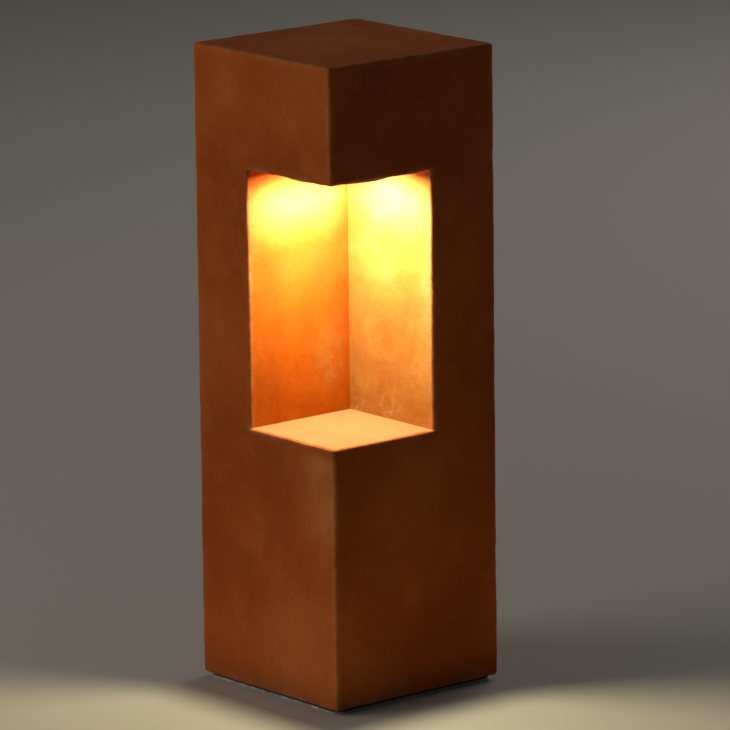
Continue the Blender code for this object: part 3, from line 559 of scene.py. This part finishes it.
def lit_material(name, colour, glow, radius, dots=0.0, roughness=0.45):
    """A lit face about the lamp's axis, brighter in the middle; dots make a grid of chips."""
    mat, tree, shader = new_material(name, roughness)
    away = from_axis(tree, LAMP)
    film = span(tree, cloud(tree, 160.0, 4.0, 0.6), 0.45, 0.75, 0.0, 0.18)
    tree.links.new(mix(tree, film, colour, (0.62, 0.50, 0.34)), shader.inputs["Base Color"])
    level = span(tree, away, radius * 0.15, radius, glow, glow * 0.35)
    if dots:
        grid = {"Vector": position(tree), "Scale": dots, "Randomness": 0.0}
        cells = add(tree, "TexVoronoi", grid, feature="F1")
        level = maths(tree, "MULTIPLY", level, span(tree, cells.outputs["Distance"], 0.25, 0.45, 1.0, 0.35))
    shader.inputs["Emission Color"].default_value = (1.0, 0.80, 0.48, 1.0)
    tree.links.new(level, shader.inputs["Emission Strength"])
    frost = cloud(tree, 2200.0, 3.0, 0.6)
    dullness = span(tree, frost, 0.3, 0.7, roughness - 0.1, roughness + 0.1)
    tree.links.new(dullness, shader.inputs["Roughness"])
    bump(tree, shader, frost, 0.00004, 0.5)
    return mat


def coarse_turning(tree):
    return turning_marks(tree, LAMP, 0.00035)


def fine_turning(tree):
    return turning_marks(tree, LAMP, 0.00022)


def upright_brush(tree):
    return cloud(tree, 700.0, 4.0, 0.6, vector=stretched(tree, (1.0, 1.0, 0.04)))


def make_materials():
    """One material for each of the record's slots, apart from the stone."""
    return {
        "aluminium": metal_material("turned_aluminium", (0.72, 0.72, 0.73), 0.34, coarse_turning),
        "stainless_steel": metal_material("stainless_steel", (0.58, 0.57, 0.55), 0.30, fine_turning,
                                          (0.30, 0.22, 0.14)),
        "galvanised_steel": metal_material("galvanised_steel", (0.50, 0.51, 0.52), 0.42, upright_brush,
                                           (0.62, 0.62, 0.60), 210.0),
        "brass": metal_material("machined_brass", (0.75, 0.57, 0.26), 0.30, None, (0.28, 0.17, 0.07)),
        "black_rubber": plastic_material("black_rubber", (0.022, 0.021, 0.020), 0.78, 1500.0, 0.10),
        "grey_plastic": plastic_material("grey_plastic", (0.30, 0.31, 0.32), 0.48),
        "black_plastic": plastic_material("black_plastic", (0.030, 0.030, 0.031), 0.45),
        "white_plastic": plastic_material("white_plastic", (0.84, 0.83, 0.79), 0.40, 900.0, 0.10),
        "conduit_plastic": plastic_material("conduit_plastic", (0.22, 0.22, 0.23), 0.55, 700.0),
        "circuit_board": board_material(),
        "emitter": lit_material("phosphor", (0.95, 0.70, 0.20), 30.0, 0.007, 480.0),
        "frosted_glass": lit_material("frosted_glass", (0.95, 0.90, 0.80), 9.0, 0.024),
    }


# ---------------------------------------------------------------- hardware

def rounded(corners, radius, steps=4, closed=True):
    """An outline in the plane with each corner rounded: corners are (a, b) or (a, b, its own radius)."""
    points = []
    count = len(corners)
    for index, corner in enumerate(corners):
        here = Vector(corner[:2])
        before = Vector(corners[index - 1][:2]) - here
        after = Vector(corners[(index + 1) % count][:2]) - here
        wanted = corner[2] if len(corner) > 2 else radius
        at_end = not closed and index in (0, count - 1)
        bend = math.pi - before.angle(after, math.pi)
        if at_end or wanted == 0 or bend < 0.01:
            points.append(here)
            continue
        reach = min(wanted * math.tan(bend / 2), before.length * 0.49, after.length * 0.49)
        start = here + before.normalized() * reach
        end = here + after.normalized() * reach
        for step in range(steps + 1):
            share = step / steps
            points.append(start * (1 - share) ** 2 + here * (2 * share * (1 - share)) + end * share ** 2)
    return points


def turn_profile(profile, place, direction=(0, 0, 1), sides=72, ring=True):
    """The outline of (radius, height), anticlockwise, turned about an axis through a place."""
    bm = bmesh.new()
    turn = Matrix.Translation(place) @ Vector(direction).to_track_quat("Z", "Y").to_matrix().to_4x4()
    rings = []
    for radius, height in profile:
        if radius < 1e-7:
            rings.append([bm.verts.new(turn @ Vector((0.0, 0.0, height)))] * sides)
            continue
        angles = [2 * math.pi * side / sides for side in range(sides)]
        rings.append([bm.verts.new(turn @ Vector((radius * math.cos(a), radius * math.sin(a), height)))
                      for a in angles])
    pairs = list(zip(rings, rings[1:] + rings[:1])) if ring else list(zip(rings, rings[1:]))
    for lower, upper in pairs:
        for side in range(sides):
            after = (side + 1) % sides
            corners = [lower[side], lower[after], upper[after], upper[side]]
            unique = list(dict.fromkeys(corners))
            if len(unique) > 2:
                bm.faces.new(unique)
    bmesh.ops.recalc_face_normals(bm, faces=bm.faces)
    return bm


def extrude_outline(points, low, high, turn=Matrix.Identity(4)):
    """A flat outline made solid between two heights, then placed."""
    bm = bmesh.new()
    base = [bm.verts.new((p[0], p[1], low)) for p in points]
    top = [bm.verts.new((p[0], p[1], high)) for p in points]
    bm.faces.new(base[::-1])
    bm.faces.new(top)
    count = len(points)
    for index in range(count):
        after = (index + 1) % count
        bm.faces.new((base[index], base[after], top[after], top[index]))
    bmesh.ops.recalc_face_normals(bm, faces=bm.faces)
    bmesh.ops.transform(bm, matrix=turn, verts=bm.verts)
    return bm


def soften(bm, width, angle=35, segments=2):
    """Small rounds on the sharp edges."""
    bmesh.ops.remove_doubles(bm, verts=bm.verts, dist=0.000002)
    bmesh.ops.dissolve_limit(bm, angle_limit=0.0005, verts=bm.verts, edges=bm.edges)
    sharp = [e for e in bm.edges if len(e.link_faces) == 2 and e.calc_face_angle() > math.radians(angle)]
    round_edges(bm, sharp, width, segments)


def smooth_piece(name, bm, mat, body, replaced, angle=40):
    for face in bm.faces:
        face.smooth = True
    piece = mesh_piece(name, bm, [mat], body, replaced)
    piece.data.set_sharp_from_angle(angle=math.radians(angle))
    return piece


def size_of(node):
    """A node's middle and its extent."""
    low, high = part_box(node)
    return (low + high) / 2, high - low


def make_trim_ring(mats):
    """The bezel, with rounded rims and a counterbored seat for each screw, and its three socket screws."""
    radius = (BEZEL_HIGH.x - BEZEL_LOW.x) / 2
    lip = 0.0017
    bore = (GLASS_HIGH.x - GLASS_LOW.x) / 2 - lip
    bottom = BEZEL_LOW.z - CEILING
    top = BEZEL_HIGH.z - CEILING
    corners = [(bore, bottom, 0.0009), (radius, bottom, 0.0012), (radius, top, 0.0002), (bore, top, 0.0002)]
    profile = rounded(corners, 0.0005, 6)
    ring = turn_profile(profile, LAMP, sides=144)
    names = [f"bezel_screw_{number}" for number in (1, 2, 3)]
    for name in names:
        middle, extent = size_of(name)
        head_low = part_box(name)[0].z
        seat = bmesh.new()
        add_rod(seat, extent.x / 2 + 0.00025, 0.0026, (middle.x, middle.y, head_low), (0, 0, 1), 44)
        ring = boolean(ring, seat)
        hole = bmesh.new()
        add_rod(hole, 0.0018, 0.012, (middle.x, middle.y, CEILING), (0, 0, 1), 32)
        ring = boolean(ring, hole)
    smooth_piece("trim_ring", ring, mats["stainless_steel"], "column", ["bezel_ring"])
    for number, name in enumerate(names, 1):
        middle, extent = size_of(name)
        face = Vector((middle.x, middle.y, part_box(name)[0].z))
        head_height = 0.0011
        shank = 0.0015
        make_socket_screw(f"trim_screw_{number}", face, Vector((0, 0, -1)), extent.x / 2, head_height,
                          shank, extent.z - head_height, mats, name)


def make_socket_screw(name, face, outward, head, height, shank, length, mats, node):
    """A socket screw whose head's face is at a place and looks outward, with thread rings on its shank."""
    pitch = 0.0005
    profile = [(0.0, 0.0, 0.0), (head, 0.0, 0.0004), (head, -height, 0.0001), (shank, -height, 0.0001)]
    depth = -height - 0.0008
    while depth > -height - length + 0.0006:
        profile += [(shank, depth, 0.0), (shank * 0.84, depth - pitch / 2, 0.0)]
        depth -= pitch
    profile += [(shank * 0.8, -height - length, 0.0), (0.0, -height - length, 0.0)]
    screw = turn_profile(rounded(profile, 0.0001, 3, closed=False), face, outward, 48, ring=False)
    socket = bmesh.new()
    add_rod(socket, head * 0.52, height * 1.3, face, outward, 6)
    screw = boolean(screw, socket)
    smooth_piece(name, screw, mats["stainless_steel"], "column", [node], 30)


def make_lens(mats):
    """The frosted glass: a disc with a rounded rim, its lit face crowned by a third of a millimetre."""
    radius = (GLASS_HIGH.x - GLASS_LOW.x) / 2
    thickness = GLASS_HIGH.z - GLASS_LOW.z
    rise = 0.0003
    rim = 0.0005
    profile = [(radius * step / 8, rise * (step / 8) ** 2) for step in range(8)]
    for step in range(7):
        angle = step / 6 * math.pi / 2
        profile.append((radius - rim + rim * math.sin(angle), rise + rim - rim * math.cos(angle)))
    profile += [(radius, thickness - 0.0003), (radius - 0.0003, thickness), (0.0, thickness)]
    lens = turn_profile(profile, Vector((LAMP.x, LAMP.y, GLASS_LOW.z)), sides=120, ring=False)
    smooth_piece("frosted_lens", lens, mats["frosted_glass"], "column", ["diffuser_glass"])


def make_locking(mats):
    """The two brass inserts in the stone, and the grub screws in them."""
    for number, outward in ((1, Vector((-1, 0, 0))), (2, Vector((0, 1, 0)))):
        middle, extent = size_of(f"threaded_sleeve_{number}")
        length = abs(extent.dot(outward))
        radius = extent.z / 2
        bore = 0.0033
        profile = rounded([(bore, 0.0), (radius, 0.0), (radius, length), (bore, length)], 0.0004, 3)
        insert = turn_profile(profile, middle - outward * length / 2, outward, 60)
        smooth_piece(f"brass_insert_{number}", insert, mats["brass"], "column",
                     [f"threaded_sleeve_{number}"])

        screw_middle, screw_extent = size_of(f"locking_screw_{number}")
        screw_length = abs(screw_extent.dot(outward))
        shank = 0.003
        face = screw_middle + outward * screw_length / 2
        outline = [(0.0, 0.0), (shank * 0.82, 0.0)]
        pitch = 0.0008
        turns = int((screw_length - 0.0024) / pitch)
        for turn in range(turns):
            top = -0.0006 - turn * pitch
            outline += [(shank, top), (shank, top - pitch * 0.2), (shank * 0.86, top - pitch * 0.6)]
        end = -screw_length
        outline += [(shank * 0.8, end + 0.0010), (shank * 0.6, end), (0.0, end)]
        screw = turn_profile(outline, face, outward, 48, ring=False)
        socket = bmesh.new()
        add_rod(socket, shank * 0.55, 0.0052, face, outward, 6)
        screw = boolean(screw, socket)
        smooth_piece(f"grub_screw_{number}", screw, mats["stainless_steel"], "column",
                     [f"locking_screw_{number}"], 30)


def square_outline(side, radius, steps=10):
    half = side / 2
    return rounded([(half, half), (-half, half), (-half, -half), (half, -half)], radius, steps)


def make_base_plate(mats):
    """The folded plate: tabs with a bend radius and rounded ears, punched holes, softened edges."""
    low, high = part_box("base_plate")
    side = high.x - low.x
    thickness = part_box("foot_gasket")[0].z - 0.0003
    plate = extrude_outline(square_outline(side, PLATE_CORNER), 0.0, thickness)
    tab_face = 0.041
    tab_half = 0.011
    ear_radius = 0.003
    bend = 0.00091
    anchor_reach = 0.027
    anchor_radius = 0.0035
    cable_hole_radius = 0.007
    along_x = Matrix(((0, 0, 1, 0), (1, 0, 0, 0), (0, 1, 0, 0), (0, 0, 0, 1)))
    along_y = Matrix(((1, 0, 0, 0), (0, 0, 1, 0), (0, 1, 0, 0), (0, 0, 0, 1)))
    for quarter in range(4):
        turn = Matrix.Rotation(quarter * math.pi / 2, 4, "Z")
        window_low = Vector((tab_face - high.z + 0.0015, -tab_half - 0.001, -0.003))
        window_high = Vector((tab_face - thickness, tab_half + 0.001, 0.003))
        window = bmesh.new()
        add_block(window, window_low, window_high)
        bmesh.ops.transform(window, matrix=turn, verts=window.verts)
        plate = boolean(plate, window)
    holes = bmesh.new()
    for x in (-anchor_reach, anchor_reach):
        for y in (-anchor_reach, anchor_reach):
            add_rod(holes, anchor_radius, 0.006, (x, y, 0.0), (0, 0, 1), 40)
    add_rod(holes, cable_hole_radius, 0.006, (0.0, 0.0, 0.0), (0, 0, 1), 56)
    plate = boolean(plate, holes)
    for quarter in range(4):
        turn = Matrix.Rotation(quarter * math.pi / 2, 4, "Z")
        bottom = thickness * 0.5
        corners = [(-tab_half, bottom, 0.0), (tab_half, bottom, 0.0), (tab_half, high.z),
                   (-tab_half, high.z)]
        ears = rounded(corners, ear_radius, 6)
        tab = extrude_outline(ears, tab_face - thickness, tab_face, turn @ along_x)
        plate = boolean(plate, tab, "UNION")
        fillet = [(tab_face, thickness), (tab_face + bend, thickness), (tab_face, thickness + bend)]
        strip = extrude_outline(fillet, -tab_half, tab_half, turn @ along_y)
        plate = boolean(plate, strip, "UNION")
    soften(plate, 0.00018, 50, 1)
    smooth_piece("folded_plate", plate, mats["galvanised_steel"], "base",
                 ["base_plate"], 30)


def make_foot_seals(mats):
    """The gasket under the stone, its rims rounded, and the grommet in the plate's cable hole."""
    low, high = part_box("foot_gasket")
    opening = 0.086
    outer = square_outline(high.x - low.x, PLATE_CORNER)
    inner = square_outline(opening, 0.003, 6)
    gasket = extrude_outline(outer, low.z, high.z)
    gasket = boolean(gasket, extrude_outline(inner, low.z - 0.002, high.z + 0.002))
    soften(gasket, 0.0003, 50)
    smooth_piece("foam_gasket", gasket, mats["black_rubber"], "base", ["foot_gasket"], 20)

    low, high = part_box("cable_grommet")
    flange = (high.x - low.x) / 2
    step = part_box("foot_gasket")[0].z
    bore = 0.0045
    neck = 0.0067
    corners = [(bore, low.z, 0.0008), (neck, low.z, 0.0002), (neck, step, 0.0002), (flange, step, 0.0004),
               (flange, high.z, 0.0007), (bore, high.z, 0.0010)]
    profile = rounded(corners, 0.0004, 6)
    grommet = turn_profile(profile, Vector((0, 0, 0)), sides=72)
    smooth_piece("entry_grommet", grommet, mats["black_rubber"], "base", ["cable_grommet"])


def dress_frame(mats):
    """Every CAD node that is kept gets the finished material of its slot."""
    for part in frame["record"]["subparts"]:
        mat = mats.get(part["material_slot"])
        if mat:
            node = frame["nodes"][part["node"]]
            node.data.materials.clear()
            node.data.materials.append(mat)


# ---------------------------------------------------------------- stage, light and camera

def make_floor():
    bm = bmesh.new()
    bmesh.ops.create_grid(bm, x_segments=1, y_segments=1, size=12.0)
    mesh = bpy.data.meshes.new("floor")
    bm.to_mesh(mesh)
    bm.free()
    floor = bpy.data.objects.new("floor", mesh)
    bpy.context.scene.collection.objects.link(floor)
    mat, tree, shader = new_material("pale_floor", 0.8)
    shader.inputs["Base Color"].default_value = (0.56, 0.545, 0.52, 1.0)
    mesh.materials.append(mat)


def area_light(name, place, target, size, power, colour, shape="SQUARE"):
    lamp = bpy.data.lights.new(name, "AREA")
    lamp.shape = shape
    lamp.size = size
    lamp.energy = power
    lamp.color = colour
    obj = bpy.data.objects.new(name, lamp)
    bpy.context.scene.collection.objects.link(obj)
    obj.location = place
    obj.rotation_mode = "QUATERNION"
    obj.rotation_quaternion = (Vector(target) - Vector(place)).to_track_quat("-Z", "Y")
    return obj


def make_studio_light():
    middle = (0.0, 0.0, 0.2)
    area_light("key", (-1.1, -1.9, 0.9), middle, 1.6, 17.0, (1.0, 0.90, 0.78))
    area_light("fill", (2.4, -0.4, 1.0), middle, 2.0, 0.4, (0.93, 1.0, 0.80))
    area_light("rim", (-0.6, 2.2, 1.6), middle, 1.8, 12.0, (1.0, 0.93, 0.86))
    world = bpy.data.worlds.new("studio")
    world.use_nodes = True
    back = world.node_tree.nodes["Background"]
    back.inputs["Color"].default_value = (0.93, 1.0, 0.88, 1.0)
    back.inputs["Strength"].default_value = 0.035
    bpy.context.scene.world = world


def make_lamp_light():
    """The downlight and the paler band that its lens throws on each wall. They rise with the column."""
    column = frame["bodies"]["column"]
    source = LAMP - Vector((0, 0, 0.0004))
    disc = area_light("downlight", source, LAMP - Vector((0, 0, 1)), 0.043, 0.93, (1.0, 0.87, 0.50), "DISK")
    band_height = LAMP.z - 0.027
    walls = (("band_left", Vector((INNER_X, LAMP.y, band_height)), 0.13),
             ("band_right", Vector((LAMP.x, INNER_Y, band_height)), 0.026))
    lights = [disc]
    for name, target, power in walls:
        band = area_light(name, source - Vector((0, 0, 0.005)), target, 0.060, power, (1.0, 0.95, 0.90),
                          "RECTANGLE")
        band.data.size_y = 0.006
        band.data.spread = math.radians(44)
        lights.append(band)
    for light in lights:
        light.visible_camera = False
        light.parent = column


def make_camera():
    azimuth, elevation, roll = math.radians(50.12), math.radians(12.49), math.radians(-0.67)
    distance = 3.8466
    right = Vector((math.cos(azimuth), math.sin(azimuth), 0.0))
    back = Vector((math.sin(azimuth) * math.cos(elevation), -math.cos(azimuth) * math.cos(elevation),
                   math.sin(elevation)))
    up = back.cross(right)
    target = Vector((HALF, -HALF, FOOT + 0.21785)) + right * 0.01963
    side = right * math.cos(roll) + up * math.sin(roll)
    top = up * math.cos(roll) - right * math.sin(roll)
    data = bpy.data.cameras.new("camera")
    data.sensor_width = 36.0
    data.lens = 313.6
    data.clip_start, data.clip_end = 0.05, 60.0
    camera = bpy.data.objects.new("camera", data)
    bpy.context.scene.collection.objects.link(camera)
    turn = Matrix((side, top, back)).transposed().to_4x4()
    camera.matrix_world = Matrix.Translation(target + back * distance) @ turn
    bpy.context.scene.camera = camera


# ---------------------------------------------------------------- the whole scene

bpy.context.scene.view_settings.view_transform = "Standard"
make_camera()
make_floor()
make_studio_light()
make_lamp_light()
make_stone()
finishes = make_materials()
dress_frame(finishes)
make_trim_ring(finishes)
make_lens(finishes)
make_locking(finishes)
make_base_plate(finishes)
make_foot_seals(finishes)
